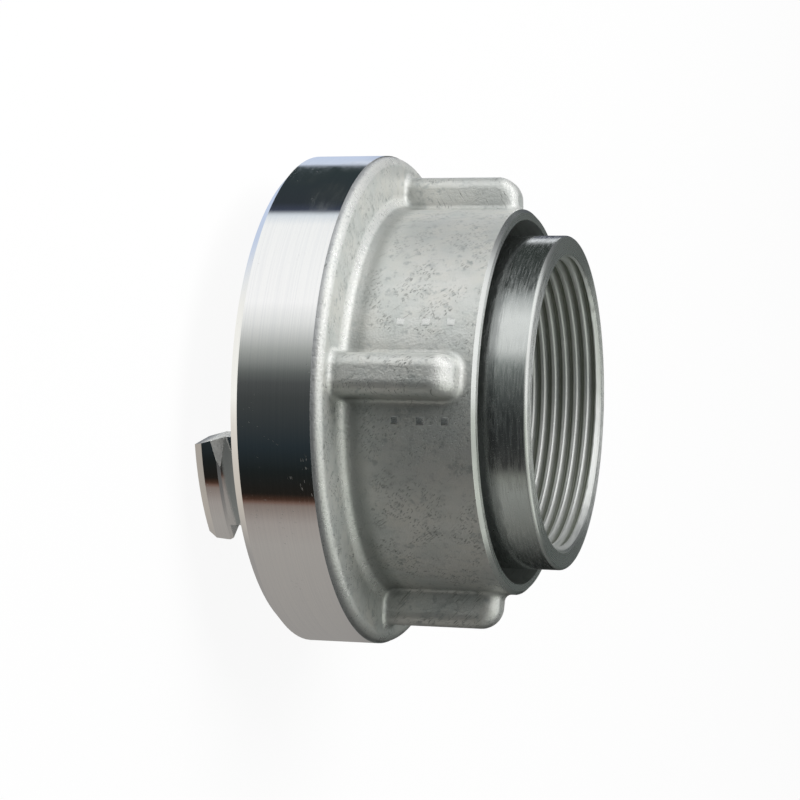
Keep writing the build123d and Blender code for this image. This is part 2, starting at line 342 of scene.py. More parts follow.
# %% [markdown]
# ## Floor and lamps
#
# The coupling stands on a plain pale floor. Camera rays see the floor nearly white, as
# paper under a studio lamp, with a little of its real shade left in, so that a soft
# shadow still ties the coupling to it. The metal neither mirrors the floor nor takes
# light from it, because the room's stripes below the horizon do that work. Two soft
# lamps hang on the upper side of the picture and shape the matt parts: a tall one, and
# a low one that reaches under the band to the ends of the claws. Mirrors don't see them.

# %% Lay the floor and hang the lamps
FLOOR_SIZE = 6.0
FLOOR_DROP = 0.02 * MM  # below the tips of the claws, so that no two faces meet
FLOOR_SHADE = (0.90, 0.90, 0.90, 1)
FLOOR_GLOW = 0.93  # the share of plain white that the camera sees
LAMP_SIZE = 0.7
LAMP_AIM = Vector((0, 0, 0.03))
# Each lamp: the side it hangs on in degrees, how far out and how high above its aim it
# is in metres, and its watts.
LAMPS = {"tall_lamp": (80, 0.65, 0.93, 11.5), "low_lamp": (85, 1.10, 0.12, 5.0)}


def lay_floor():
    mesh = bpy.data.meshes.new("floor")
    half = FLOOR_SIZE / 2
    corners = [(x, y, -FLOOR_DROP) for x, y in
               ((-half, -half), (half, -half), (half, half), (-half, half))]
    mesh.from_pydata(corners, [], [(0, 1, 2, 3)])
    piece = bpy.data.objects.new("floor", mesh)
    bpy.context.scene.collection.objects.link(piece)
    paint = bpy.data.materials.new("pale_floor")
    paint.use_nodes = True
    tree = paint.node_tree
    tree.nodes.clear()
    matt = add_node(tree, "ShaderNodeBsdfDiffuse", in_Color=FLOOR_SHADE)
    glow = add_node(tree, "ShaderNodeEmission", in_Color=(1, 1, 1, 1), in_Strength=1.0)
    rays = add_node(tree, "ShaderNodeLightPath")
    share = calc(tree, "MULTIPLY", seen_directly(tree, rays), FLOOR_GLOW)
    mix = add_node(tree, "ShaderNodeMixShader")
    tree.links.new(share, mix.inputs[0])
    tree.links.new(matt.outputs[0], mix.inputs[1])
    tree.links.new(glow.outputs[0], mix.inputs[2])
    output = add_node(tree, "ShaderNodeOutputMaterial")
    tree.links.new(mix.outputs[0], output.inputs["Surface"])
    mesh.materials.append(paint)
    piece.visible_glossy = False
    piece.visible_diffuse = False
    return piece


def hang_lamp(name, side, out, up, watts):
    data = bpy.data.lights.new(name, "AREA")
    data.shape = "DISK"
    data.size = LAMP_SIZE
    data.energy = watts
    lamp = bpy.data.objects.new(name, data)
    bpy.context.scene.collection.objects.link(lamp)
    turn = VIEW_AZIMUTH - radians(side)
    lamp.location = LAMP_AIM + Vector((cos(turn) * out, sin(turn) * out, up))
    lamp.rotation_euler = (lamp.location - LAMP_AIM).to_track_quat("Z", "Y").to_euler()
    lamp.visible_glossy = False
    return lamp


studio_floor = lay_floor()
print("floor corners:", len(studio_floor.data.vertices))
for name, place in LAMPS.items():
    lamp = hang_lamp(name, *place)
    print(name, "at", [round(v, 2) for v in lamp.location])

# %% [markdown]
# ## Turned aluminium
#
# The band, the claws and the coupling face are turned on a lathe, which leaves fine
# grooves that run round the axis. A picture of grooves could be wrapped on, but the
# lathe itself gives a simpler rule: the surface only changes along its profile. So a
# noise texture is fed with one running number, height plus most of the radius, and
# every groove closes on itself. Marks that are longer than they are wide use the same
# number, and a point on a circle beside it.

# %% Coordinates that a lathe would use
UNROLL_RADIUS = 40  # millimetres: lengths round the axis are measured on this circle
RADIUS_SHARE = 0.83  # so much of the radius counts in the number along the profile


def lathe_coordinates(tree):
    """Returns the position, the radius, the height and one number along the profile."""
    position = add_node(tree, "ShaderNodeTexCoord").outputs["Object"]
    parts = add_node(tree, "ShaderNodeSeparateXYZ")
    tree.links.new(position, parts.inputs[0])
    across = calc(tree, "POWER", parts.outputs["X"], 2)
    across = calc(tree, "MULTIPLY_ADD", parts.outputs["Y"], parts.outputs["Y"], across)
    radius = calc(tree, "SQRT", across)
    along = calc(tree, "MULTIPLY_ADD", radius, RADIUS_SHARE, parts.outputs["Z"])
    return position, radius, parts.outputs["Z"], along


def groove_noise(tree, along, per_mm, detail=2.0):
    """Noise that only changes along the profile, so that it runs round the axis."""
    noise = add_node(tree, "ShaderNodeTexNoise", noise_dimensions="1D", in_Detail=detail)
    tree.links.new(calc(tree, "MULTIPLY", along, per_mm / MM), noise.inputs["W"])
    noise.inputs["Scale"].default_value = 1.0
    return noise.outputs["Fac"]


def streak_noise(tree, position, radius, along, round_mm, across_mm, detail=2.0):
    """Noise drawn out round the axis, for marks longer than they are wide."""
    parts = add_node(tree, "ShaderNodeSeparateXYZ")
    tree.links.new(position, parts.inputs[0])
    spread = UNROLL_RADIUS / round_mm
    join = add_node(tree, "ShaderNodeCombineXYZ")
    for place, name in ((0, "X"), (1, "Y")):
        unit = calc(tree, "DIVIDE", parts.outputs[name], radius)
        tree.links.new(calc(tree, "MULTIPLY", unit, spread), join.inputs[place])
    tree.links.new(calc(tree, "MULTIPLY", along, 1 / (across_mm * MM)), join.inputs[2])
    noise = add_node(tree, "ShaderNodeTexNoise", in_Detail=detail)
    noise.inputs["Scale"].default_value = 1.0
    tree.links.new(join.outputs[0], noise.inputs["Vector"])
    return noise.outputs["Fac"]


print("one degree round the axis, mm:", round(radians(1) * UNROLL_RADIUS, 2))

# %% [markdown]
# ## Marks of wear
#
# Years of use leave three kinds of marks on such a coupling: small nicks that lie at a
# slant, patches where the shine has gone, and a few knocks at places of their own. They
# could be painted, but cells of a Voronoi texture, drawn out and turned, look like
# nicks at any distance. A knock is only a distance from a given place.

# %% Nicks, patches and knocks
NICK_CORE, NICK_RIM = 0.14, 0.34  # inside the first a nick is full, at the second it ends


def spot_noise(tree, position, size_mm, detail=2.0, roughness=0.5):
    """Noise in blotches of about the given size."""
    noise = add_node(tree, "ShaderNodeTexNoise", in_Detail=detail, in_Roughness=roughness)
    noise.inputs["Scale"].default_value = 1 / (size_mm * MM)
    tree.links.new(position, noise.inputs["Vector"])
    return noise.outputs["Fac"]


def unroll(tree, position):
    """How far round the axis a point lies, in metres on a circle of 40 mm radius."""
    parts = add_node(tree, "ShaderNodeSeparateXYZ")
    tree.links.new(position, parts.inputs[0])
    turn = calc(tree, "ARCTAN2", parts.outputs["Y"], parts.outputs["X"])
    return calc(tree, "MULTIPLY", turn, UNROLL_RADIUS * MM)


def nicks(tree, around, along, wobble, slant, length_mm, width_mm, share, seed=0.0):
    """Short marks at a slant: stretched Voronoi cells, of which a share is let through."""
    turn = radians(slant)
    first = calc(tree, "MULTIPLY", along, sin(turn))
    first = calc(tree, "MULTIPLY_ADD", around, cos(turn), first)
    second = calc(tree, "MULTIPLY", around, -sin(turn))
    second = calc(tree, "MULTIPLY_ADD", along, cos(turn), second)
    join = add_node(tree, "ShaderNodeCombineXYZ")
    for place, value, size, bend in ((0, first, length_mm, 0.4), (1, second, width_mm, 0.9)):
        bent = calc(tree, "MULTIPLY_ADD", wobble, bend, seed)
        tree.links.new(calc(tree, "MULTIPLY_ADD", value, 1 / (size * MM), bent), join.inputs[place])
    cells = add_node(tree, "ShaderNodeTexVoronoi", voronoi_dimensions="2D",
                     in_Scale=1.0, in_Randomness=1.0)
    tree.links.new(join.outputs[0], cells.inputs["Vector"])
    mark = calc(tree, "SUBTRACT", 1.0, rise(tree, cells.outputs["Distance"], NICK_CORE, NICK_RIM))
    lot = add_node(tree, "ShaderNodeSeparateColor")
    tree.links.new(cells.outputs["Color"], lot.inputs[0])
    return calc(tree, "MULTIPLY", mark, rise(tree, lot.outputs[0], 1 - share, 1.02 - share))


def flow_noise(tree, around, along, round_mm, along_mm, detail=2.0):
    """Noise in patches of a given length round the axis and along it."""
    join = add_node(tree, "ShaderNodeCombineXYZ")
    tree.links.new(calc(tree, "MULTIPLY", around, 1 / (round_mm * MM)), join.inputs[0])
    tree.links.new(calc(tree, "MULTIPLY", along, 1 / (along_mm * MM)), join.inputs[1])
    noise = add_node(tree, "ShaderNodeTexNoise", noise_dimensions="2D", in_Detail=detail)
    noise.inputs["Scale"].default_value = 1.0
    tree.links.new(join.outputs[0], noise.inputs["Vector"])
    return noise.outputs["Fac"]


def knocked(tree, around, height, places):
    """1 at the given places, each an angle in degrees, a height and a size in mm."""
    total = 0.0
    for angle, level, size in places:
        sideways = calc(tree, "SUBTRACT", around, radians(angle) * UNROLL_RADIUS * MM)
        upward = calc(tree, "SUBTRACT", height, level * MM)
        square = calc(tree, "MULTIPLY", upward, upward)
        square = calc(tree, "MULTIPLY_ADD", sideways, sideways, square)
        away = rise(tree, calc(tree, "SQRT", square), size * 0.5 * MM, size * MM)
        near = calc(tree, "SUBTRACT", 1.0, away)
        total = calc(tree, "MAXIMUM", total, near)
    return total


print("shape of a nick, core and rim:", NICK_CORE, NICK_RIM)

# %% [markdown]
# ## How a finish starts
#
# Each finish is one Principled shader, the shader that covers metal, rubber and most
# else. Plain numbers go onto its own sockets. Grooves too fine to be seen one by one
# still pull a reflection out to the side, which is what its anisotropy does. Relief
# that is finer than the mesh is a bump.

# %% Start a finish
def turned_grain(tree, shader, amount):
    """Spreads reflections across the lathe's grooves, as fine grooves do."""
    tangent = add_node(tree, "ShaderNodeTangent", direction_type="RADIAL", axis="Z")
    tree.links.new(tangent.outputs[0], shader.inputs["Tangent"])
    shader.inputs["Anisotropic"].default_value = amount
    shader.inputs["Anisotropic Rotation"].default_value = 0.25


def start_finish(name, **sockets):
    """A new material with one Principled shader, whose plain values are set on its own sockets."""
    finish = bpy.data.materials.new(name)
    finish.use_nodes = True
    tree = finish.node_tree
    tree.nodes.clear()
    shader = add_node(tree, "ShaderNodeBsdfPrincipled")
    for key, value in sockets.items():
        shader.inputs[key.replace("_", " ")].default_value = value
    output = add_node(tree, "ShaderNodeOutputMaterial")
    tree.links.new(shader.outputs[0], output.inputs["Surface"])
    return finish, tree, shader


def relief(tree, shader, height, depth_mm, strength=1.0):
    """Turns a height into a bump of the given depth."""
    bump = add_node(tree, "ShaderNodeBump", in_Strength=strength, in_Distance=depth_mm * MM)
    tree.links.new(height, bump.inputs["Height"])
    tree.links.new(bump.outputs[0], shader.inputs["Normal"])


print("helpers:", [helper.__name__ for helper in (turned_grain, start_finish, relief)])

# %% [markdown]
# ## The polished band
#
# The band is the brightest part: turned, polished, and touched by every hand and hose
# rack. So it's nearly a mirror, a little softer across its grooves, with scuffs in
# worn patches, a knocked edge and some hazy spots.

# %% Polished band
# Each place: an angle in degrees, a height and a size in millimetres.
KNOCKS = [(-69.6, 25.0, 1.5), (-64.4, 24.6, 1.3), (-62.5, 26.0, 1.0), (-66.0, 22.0, 0.7)]
HAZE = [(-147.0, 16.0, 6.0), (-136.0, 22.5, 5.5), (-152.0, 24.0, 4.5)]


def polished_band():
    finish, tree, shader = start_finish("polished_band", Metallic=1.0)
    position, radius, height, along = lathe_coordinates(tree)
    around = unroll(tree, position)
    grooves = groove_noise(tree, along, 9.0)
    streaks = rise(tree, streak_noise(tree, position, radius, along, 30, 0.25), 0.35, 0.65)
    wobble = spot_noise(tree, position, 0.7)
    worn = rise(tree, spot_noise(tree, position, 9.0), 0.54, 0.68)
    scuffs = nicks(tree, around, along, wobble, 65, 0.9, 0.18, 0.06)
    scuffs = calc(tree, "MULTIPLY", scuffs, worn)
    specks = nicks(tree, around, along, wobble, 20, 0.28, 0.22, 0.008, 5.5)
    scuffs = calc(tree, "MAXIMUM", scuffs, specks)
    dents = nicks(tree, around, along, wobble, 8, 1.1, 0.30, 0.55, 2.2)
    dents = calc(tree, "MULTIPLY", dents, knocked(tree, around, height, KNOCKS))
    scuffs = calc(tree, "MAXIMUM", scuffs, dents)
    haze = flow_noise(tree, around, along, 3.0, 0.9, 3.0)
    haze = calc(tree, "MULTIPLY", haze, knocked(tree, around, height, HAZE))
    tone = blend_colours(tree, streaks, (0.90, 0.905, 0.91), (0.95, 0.95, 0.945))
    tone = blend_colours(tree, scuffs, tone, (0.80, 0.80, 0.79))
    tree.links.new(tone, shader.inputs["Base Color"])
    dull = calc(tree, "MULTIPLY_ADD", streaks, 0.03, 0.04)
    dull = calc(tree, "MULTIPLY_ADD", haze, 0.22, dull)
    dull = calc(tree, "MULTIPLY_ADD", scuffs, 0.42, dull)
    tree.links.new(dull, shader.inputs["Roughness"])
    turned_grain(tree, shader, 0.6)
    depth = calc(tree, "MULTIPLY_ADD", scuffs, -2.5, grooves)
    relief(tree, shader, depth, 0.0012)
    return finish


band_finish = polished_band()
print("polished band:", len(band_finish.node_tree.nodes), "nodes")

# %% [markdown]
# ## Cast and tumbled aluminium
#
# The rear of the lug ring is left as it came from the mould and the tumbling drum:
# pale, matt, slightly mottled, with a fine grain, small pits and thin dark scratches.
# A shader that is part metal, with high roughness, keeps the broad shading of the room.
# The grain is a bump, since it is far finer than any mesh, and the pits are cells of a
# Voronoi texture of which only a few, picked by noise, are let through. Tumbling wears
# the ridges bright and never reaches the corners. The ridges could be painted by hand,
# but the way the surface leans tells where they are, and the Ambient Occlusion node
# finds the corners, since it measures how much of the view is blocked. The corners are
# darkened with painted shade, and kept free of wear.

# %% Ridges and hollows
def between(tree, value, start, full, fade, end):
    """Rises from 0 to 1 between start and full, and falls again between fade and end."""
    return calc(tree, "MULTIPLY", rise(tree, value, start, full), rise(tree, value, end, fade))


def lean_of(tree):
    """How far the surface leans out of the upright: 0 on a wall, 1 on a flat."""
    parts = add_node(tree, "ShaderNodeSeparateXYZ")
    tree.links.new(add_node(tree, "ShaderNodeTexCoord").outputs["Normal"], parts.inputs[0])
    return calc(tree, "ABSOLUTE", parts.outputs["Z"])


def in_hollows(tree, reach_mm):
    """1 deep in a corner, 0 in the open, by how much of the view from the surface is blocked."""
    look = add_node(tree, "ShaderNodeAmbientOcclusion", samples=6, in_Distance=reach_mm * MM)
    return rise(tree, look.outputs["AO"], 0.985, 0.50)


print("helpers:", [helper.__name__ for helper in (between, lean_of, in_hollows)])

# %% Cast skin
# Each lot of scratches: slant in degrees, length and width in mm, share and seed.
SHORT_SCRATCHES = [(-38, 1.5, 0.20, 0.22, 0.0), (-62, 0.9, 0.22, 0.18, 3.3),
                   (18, 0.8, 0.20, 0.08, 9.1)]
LONG_SCRATCHES = (-50, 4.5, 0.17, 0.02, 7.7)
# Painted shade: a dark corner where the skirt meets the shoulder, and a dark bluish-grey strip next
# to the band.
SHADED_CORNER_HEIGHTS = (29.2 * MM, 29.9 * MM, 31.0 * MM, 34.0 * MM)
SHADED_CORNER_RADII = (40.2 * MM, 39.2 * MM)
SHADED_STRIP_HEIGHTS = (27.5 * MM, 26.6 * MM)


def cast_skin():
    finish, tree, shader = start_finish("cast_skin", Metallic=0.65)
    position, radius, height, along = lathe_coordinates(tree)
    around = unroll(tree, position)
    cloud = spot_noise(tree, position, 9, 3.0, 0.6)
    flow = rise(tree, flow_noise(tree, around, along, 3.0, 8.0, 3.0), 0.42, 0.60)
    mottle = spot_noise(tree, position, 1.6, 4.0, 0.65)
    grain = spot_noise(tree, position, 0.42, 3.0, 0.65)
    wobble = spot_noise(tree, position, 0.9)
    zones = rise(tree, spot_noise(tree, position, 5.0, 2.0), 0.44, 0.58)
    marks = nicks(tree, around, along, wobble, *SHORT_SCRATCHES[0])
    for lot in SHORT_SCRATCHES[1:]:
        marks = calc(tree, "MAXIMUM", marks, nicks(tree, around, along, wobble, *lot))
    marks = calc(tree, "MULTIPLY", marks, zones)
    long_marks = nicks(tree, around, along, wobble, *LONG_SCRATCHES)
    marks = calc(tree, "MAXIMUM", marks, long_marks)
    lean = lean_of(tree)
    ridges = between(tree, lean, 0.12, 0.34, 0.94, 0.985)
    marks = calc(tree, "MULTIPLY", marks, calc(tree, "SUBTRACT", 1.0, ridges))
    clouded = rise(tree, cloud, 0.32, 0.68)
    tone = blend_colours(tree, clouded, (0.70, 0.73, 0.71), (0.82, 0.82, 0.78))
    tone = blend_colours(tree, rise(tree, mottle, 0.48, 0.32), tone, (0.56, 0.585, 0.57))
    tone = blend_colours(tree, calc(tree, "MULTIPLY", flow, 0.35), tone, (0.84, 0.85, 0.83))
    shaded_hollow = calc(tree, "MULTIPLY", in_hollows(tree, 6.5), rise(tree, lean, 0.75, 0.35))
    worn = calc(tree, "MULTIPLY", ridges, rise(tree, grain, 0.36, 0.52))
    worn = calc(tree, "MULTIPLY", worn, rise(tree, shaded_hollow, 0.10, 0.0))
    tone = blend_colours(tree, calc(tree, "MULTIPLY", worn, 0.75), tone, (0.95, 0.955, 0.93))
    # Painted shade in the corner where the skirt meets the shoulder.
    corner = between(tree, height, *SHADED_CORNER_HEIGHTS)
    corner = calc(tree, "MULTIPLY", corner, rise(tree, radius, *SHADED_CORNER_RADII))
    tone = blend_colours(tree, calc(tree, "MULTIPLY", corner, 0.56), tone, (0.30, 0.315, 0.30))
    # Painted shade: the hollows that the Ambient Occlusion node finds are darkened.
    tone = blend_colours(tree, calc(tree, "MULTIPLY", shaded_hollow, 0.62), tone, (0.22, 0.23, 0.22))
    # Painted shade: a dark bluish-grey strip next to the band.
    shaded_strip = rise(tree, height, *SHADED_STRIP_HEIGHTS)
    tone = blend_colours(tree, calc(tree, "MULTIPLY", shaded_strip, 0.55), tone, (0.40, 0.41, 0.45))
    tone = blend_colours(tree, marks, tone, (0.36, 0.37, 0.36))
    tree.links.new(tone, shader.inputs["Base Color"])
    dull = calc(tree, "MULTIPLY_ADD", mottle, 0.16, 0.34)
    dull = calc(tree, "MULTIPLY_ADD", flow, -0.05, dull)
    dull = calc(tree, "MULTIPLY_ADD", marks, 0.12, dull)
    dull = calc(tree, "MULTIPLY_ADD", worn, -0.10, dull)
    tree.links.new(dull, shader.inputs["Roughness"])
    depth = calc(tree, "MULTIPLY_ADD", mottle, 0.9, grain)
    depth = calc(tree, "MULTIPLY_ADD", marks, -0.7, depth)
    relief(tree, shader, depth, 0.095)
    return finish


cast_finish = cast_skin()
print("cast skin:", len(cast_finish.node_tree.nodes), "nodes")

# %% [markdown]
# ## Faced, filed and bored surfaces
#
# Not every machined face is polished. The rim and the socket's end are faced: the
# tool leaves coarser rings there, and they throw the light far to both sides of the
# axis, so such a ring shows a bright bow across it. The ends of the claws are filed
# by hand, matt and uneven, with painted shade where they meet the face. The bore of the
# skirt is only cleared, and dull. All three are the same shader with other numbers, so
# one helper makes them.

# %% Machined finishes
def machined(name, metallic, low, high, rough, spread, ring_length, ring_depth,
             grain=0.0, corner_shade=0.0):
    finish, tree, shader = start_finish(name, Metallic=metallic)
    position, radius, _, along = lathe_coordinates(tree)
    rings = streak_noise(tree, position, radius, along, ring_length, 0.16, 3.0)
    rings = rise(tree, rings, 0.36, 0.64)
    blotch = spot_noise(tree, position, 1.1, 3.0, 0.6)
    mixed = calc(tree, "MULTIPLY_ADD", rings, 0.5, calc(tree, "MULTIPLY", blotch, 0.5))
    tone = blend_colours(tree, mixed, low, high)
    # Painted shade: where the Ambient Occlusion node finds a corner, the tone is darkened.
    if corner_shade:
        shaded_corners = calc(tree, "MULTIPLY", in_hollows(tree, 4.0), corner_shade)
        tone = blend_colours(tree, shaded_corners, tone, (0.10, 0.10, 0.10))
    tree.links.new(tone, shader.inputs["Base Color"])
    dull = calc(tree, "MULTIPLY_ADD", rings, spread, rough)
    dull = calc(tree, "MULTIPLY_ADD", blotch, spread, dull)
    tree.links.new(dull, shader.inputs["Roughness"])
    if grain:
        turned_grain(tree, shader, grain)
    relief(tree, shader, calc(tree, "MULTIPLY_ADD", blotch, 0.6, rings), ring_depth)
    return finish


faced_finish = machined(
    "faced_rings", metallic=1.0, low=(0.86, 0.885, 0.86), high=(0.97, 0.98, 0.96),
    rough=0.20, spread=0.10, ring_length=9, ring_depth=0.002, grain=0.95)
filed_finish = machined(
    "filed_ends", metallic=0.10, low=(0.84, 0.85, 0.82), high=(0.98, 0.98, 0.95),
    rough=0.34, spread=0.14, ring_length=2, ring_depth=0.010, corner_shade=0.85)
bored_finish = machined(
    "bored_skirt", metallic=0.55, low=(0.42, 0.44, 0.43), high=(0.62, 0.65, 0.63),
    rough=0.34, spread=0.12, ring_length=12, ring_depth=0.004)
print("machined finishes:", faced_finish.name, filed_finish.name, bored_finish.name)

# %% [markdown]
# ## Which face has which finish
#
# The lug ring is one casting, and the lathe reached only a part of it. A painted mask
# could say where, but the tool's own reach is a better rule: everything in front of
# the band's rear edge is turned, the rim is faced, the skirt's bore is cleared, and
# the rest keeps its cast skin. On the claws the faces that don't run round the axis
# are the filed ones.

# %% Give each face of the lug ring its finish
CAST, BAND, FACED, FILED, BORED = range(5)
FILED_TILT = 0.15  # a face that looks so far round the axis is filed
BAND_REAR = 26.3 * MM
RIM_START = 53.8 * MM
SKIRT_BORE = 36.3 * MM
COUPLING_FACE = 10.0 * MM


def finish_of(face, points):
    """The number of the finish of one face, by where the face lies and looks."""
    corners = [points[number].co for number in face.vertices]
    middle = face.center
    reach = max(hypot(middle.x, middle.y), MM)
    sideways = abs(face.normal.x * middle.y - face.normal.y * middle.x) / reach
    if middle.z < COUPLING_FACE and sideways > FILED_TILT:
        return FILED
    if min(corner.z for corner in corners) > RIM_START:
        return FACED
    if max(corner.z for corner in corners) < BAND_REAR + 0.01 * MM:
        return BAND
    if max(hypot(corner.x, corner.y) for corner in corners) < SKIRT_BORE:
        return BORED
    return CAST


def finish_lug_ring(piece):
    piece.data.materials.clear()
    for finish in (cast_finish, band_finish, faced_finish, filed_finish, bored_finish):
        piece.data.materials.append(finish)
    counts = [0] * 5
    for face in piece.data.polygons:
        face.material_index = finish_of(face, piece.data.vertices)
        counts[face.material_index] += 1
    return counts


print("faces cast, polished, faced, filed and bored:", finish_lug_ring(lug_ring))

# %% [markdown]
# ## Marks of the mould
#
# Six small square marks stand on the skirt, in two rows of three, as mould pins leave
# them. They are smoother than the skin around them, so they show the room more clearly:
# pale on the upper side, dark on the lower. Each is a thin pad that follows the skirt's
# curve, and its edges sink into the skin. They could be joined to the casting with a
# boolean, but pads of a few faces look the same and leave the casting's mesh alone.

# %% Set up the six marks
# Sizes in millimetres, and each place an angle in degrees and a height.
SKIRT_RADIUS = 38.2
MARK_SIZE = 1.5
MARK_HEIGHT = 0.03
MARK_PLACES = [(angle, height) for angle in (-106.1, -77.95) for height in (39.1, 44.1, 48.9)]
# Across a mark: where, as a share of its size, and how high it stands there in mm.
MARK_STEPS = [(-0.5, -0.01), (-0.42, MARK_HEIGHT), (-0.15, MARK_HEIGHT),
              (0.15, MARK_HEIGHT), (0.42, MARK_HEIGHT), (0.5, -0.01)]


def mark_finish():
    finish, tree, shader = start_finish("pin_mark", Metallic=0.8)
    position = lathe_coordinates(tree)[0]
    mottle = spot_noise(tree, position, 0.8, 3.0, 0.6)
    tone = blend_colours(tree, mottle, (0.66, 0.68, 0.67), (0.84, 0.85, 0.83))
    tree.links.new(tone, shader.inputs["Base Color"])
    tree.links.new(calc(tree, "MULTIPLY_ADD", mottle, 0.20, 0.14), shader.inputs["Roughness"])
    relief(tree, shader, mottle, 0.02)
    return finish


def piece_from(bm, name):
    """Turns faces that were built in a bmesh into a smoothly shaded piece of the scene."""
    mesh = bpy.data.meshes.new(name)
    bm.to_mesh(mesh)
    bm.free()
    mesh.shade_smooth()
    piece = bpy.data.objects.new(name, mesh)
    bpy.context.scene.collection.objects.link(piece)
    return piece


def make_marks():
    bm = bmesh.new()
    for angle, height in MARK_PLACES:
        grid = []
        for across, rise_across in MARK_STEPS:
            line = []
            for upward, rise_upward in MARK_STEPS:
                reach = (SKIRT_RADIUS + min(rise_across, rise_upward)) * MM
                turn = radians(angle) + across * MARK_SIZE / SKIRT_RADIUS
                line.append(bm.verts.new((reach * cos(turn), reach * sin(turn),
                                          (height + upward * MARK_SIZE) * MM)))
            grid.append(line)
        for near, far in zip(grid, grid[1:]):
            for low in range(len(MARK_STEPS) - 1):
                bm.faces.new((near[low], far[low], far[low + 1], near[low + 1]))
    piece = piece_from(bm, "pin_marks")
    piece.data.materials.append(mark_finish())
    return piece


pin_marks = make_marks()
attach(pin_marks, "head")
print("marks:", len(MARK_PLACES), "faces:", len(pin_marks.data.polygons))

# %% [markdown]
# ## Necks of the claws
#
# A neck joins each hook to the coupling face. Where the hook begins, a slanted flat
# lets it slide behind the lip of the other half, and on the real claw this flat stops at
# the neck. In the plain model the cut runs on as a thin slot through the neck. It
# could be closed in the casting's mesh, but that mesh is kept as it is, so a short
# curved block is fitted into each neck. It stands a hundredth of a millimetre proud,
# which nobody sees, so that no two faces lie in one plane.

# %% Fit a block into each neck
CLAW_STARTS = (287.95, 107.95)
NECK_ARC = 18.0
NECK_LEAD = 0.015  # degrees by which a block stands proud of its claw's leading end
NECK_STEPS = 18
# Radius and height in millimetres. The part above the coupling face lies in the casting.
NECK_SECTION = [(32.99, 4.6), (38.01, 4.6), (38.01, 9.99), (38.01, 10.7), (33.2, 10.7),
                (33.2, 9.99), (32.99, 9.99)]


def fit_necks():
    bm = bmesh.new()
    for start in CLAW_STARTS:
        sections = []
        for step in range(NECK_STEPS + 1):
            turn = radians(start - NECK_LEAD + NECK_ARC * step / NECK_STEPS)
            sections.append([
                bm.verts.new((radius * cos(turn) * MM, radius * sin(turn) * MM, height * MM))
                for radius, height in NECK_SECTION])
        for near, far in zip(sections, sections[1:]):
            for place in range(len(NECK_SECTION)):
                after = (place + 1) % len(NECK_SECTION)
                bm.faces.new((near[place], near[after], far[after], far[place]))
        for end in (sections[0], sections[-1]):
            bm.faces.new(end)
    bmesh.ops.recalc_face_normals(bm, faces=bm.faces)
    piece = piece_from(bm, "claw_necks")
    piece.data.set_sharp_from_angle(angle=radians(30))
    for finish in (band_finish, filed_finish):
        piece.data.materials.append(finish)
    for face in piece.data.polygons:
        sideways = abs(face.normal.x * face.center.y - face.normal.y * face.center.x)
        face.material_index = int(sideways > 0.5 * hypot(face.center.x, face.center.y))
    return piece


claw_necks = fit_necks()
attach(claw_necks, "head")
print("necks:", len(CLAW_STARTS), "faces:", len(claw_necks.data.polygons))

# %% [markdown]
# ## The threaded socket
#
# The socket is a turned piece with a female pipe thread, 11 threads to the inch. The
# plain model has a smooth bore there. A thread could be faked with a bump, but its
# crests stand out against the dark bore, so it is real geometry. Rows of points follow
# the helix: after one turn each row has climbed by one pitch and joins the row that
# began one pitch higher. At both ends the rows are held back at a plane, which cuts
# the helix off as a facing tool would. The rest of the socket is a plain profile.

# %% Shape of the thread
PITCH = 25.4 / 11 * MM
CREST_RADIUS = 28.33 * MM
ROOT_RADIUS = 29.60 * MM
THREAD_START = 45.1 * MM
SOCKET_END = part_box("threaded_socket")[1][2]
MOUTH_RADIUS = 29.35 * MM
CREST_POWER = 1.1  # above 1 the crests are broader than the roots
ROWS_PER_PITCH = 20
SIDES = 256


def ragged(angle):
    """The small unevenness of the mouth's edge, the same in each run."""
    waves = 0.035 * sin(9 * angle + 1) + 0.030 * sin(23 * angle)
    waves += 0.022 * sin(57 * angle + 2)
    knock = 0.30 * exp(-((angle - radians(136)) / radians(1.6)) ** 2)
    return (waves + knock) * MM


def thread_radius(angle, height):
    """Radius of the threaded bore: broad rounded crests that fall into narrower roots."""
    phase = ((height - SOCKET_END) / PITCH - angle / (2 * pi) + 0.5) % 1.0
    depth = 0.5 - 0.5 * cos(pi * (1 - abs(2 * phase - 1)) ** CREST_POWER)
    cut = CREST_RADIUS + depth * (ROOT_RADIUS - CREST_RADIUS)
    chamfer = MOUTH_RADIUS + ragged(angle) - (SOCKET_END - height)
    return max(cut, chamfer)


print("turns of thread:", round((SOCKET_END - THREAD_START) / PITCH, 1))

# %% Profile of the rest of the socket
WATERWAY = 26.0
EDGE_ROUND = 0.7
END = SOCKET_END / MM
# Radius and height in millimetres, from the end face round to the bottom of the thread.
SOCKET_PROFILE = [(32.2, END)]
for step in range(7):
    turn = radians(15 * step)
    SOCKET_PROFILE.append((32.3 + EDGE_ROUND * sin(turn),
                           END - EDGE_ROUND + EDGE_ROUND * cos(turn)))
SOCKET_PROFILE += [
    (33.0, 26.84), (31.5, 26.84), (31.5, 23.76), (33.0, 23.76), (33.0, 20.9), (32.7, 20.6),
    (32.7, 10.9), (32.3, 10.5), (29.6, 10.5), (29.6, 13.6), (31.0, 13.6), (31.0, 16.5),
    (WATERWAY, 16.5), (WATERWAY, 41.95), (30.15, 41.95), (30.15, THREAD_START / MM),
]


def ring_of(bm, radius, height):
    """One ring of points at a radius and a height in millimetres."""
    step = 2 * pi / SIDES
    return [bm.verts.new((radius * MM * cos(n * step), radius * MM * sin(n * step), height * MM))
            for n in range(SIDES)]


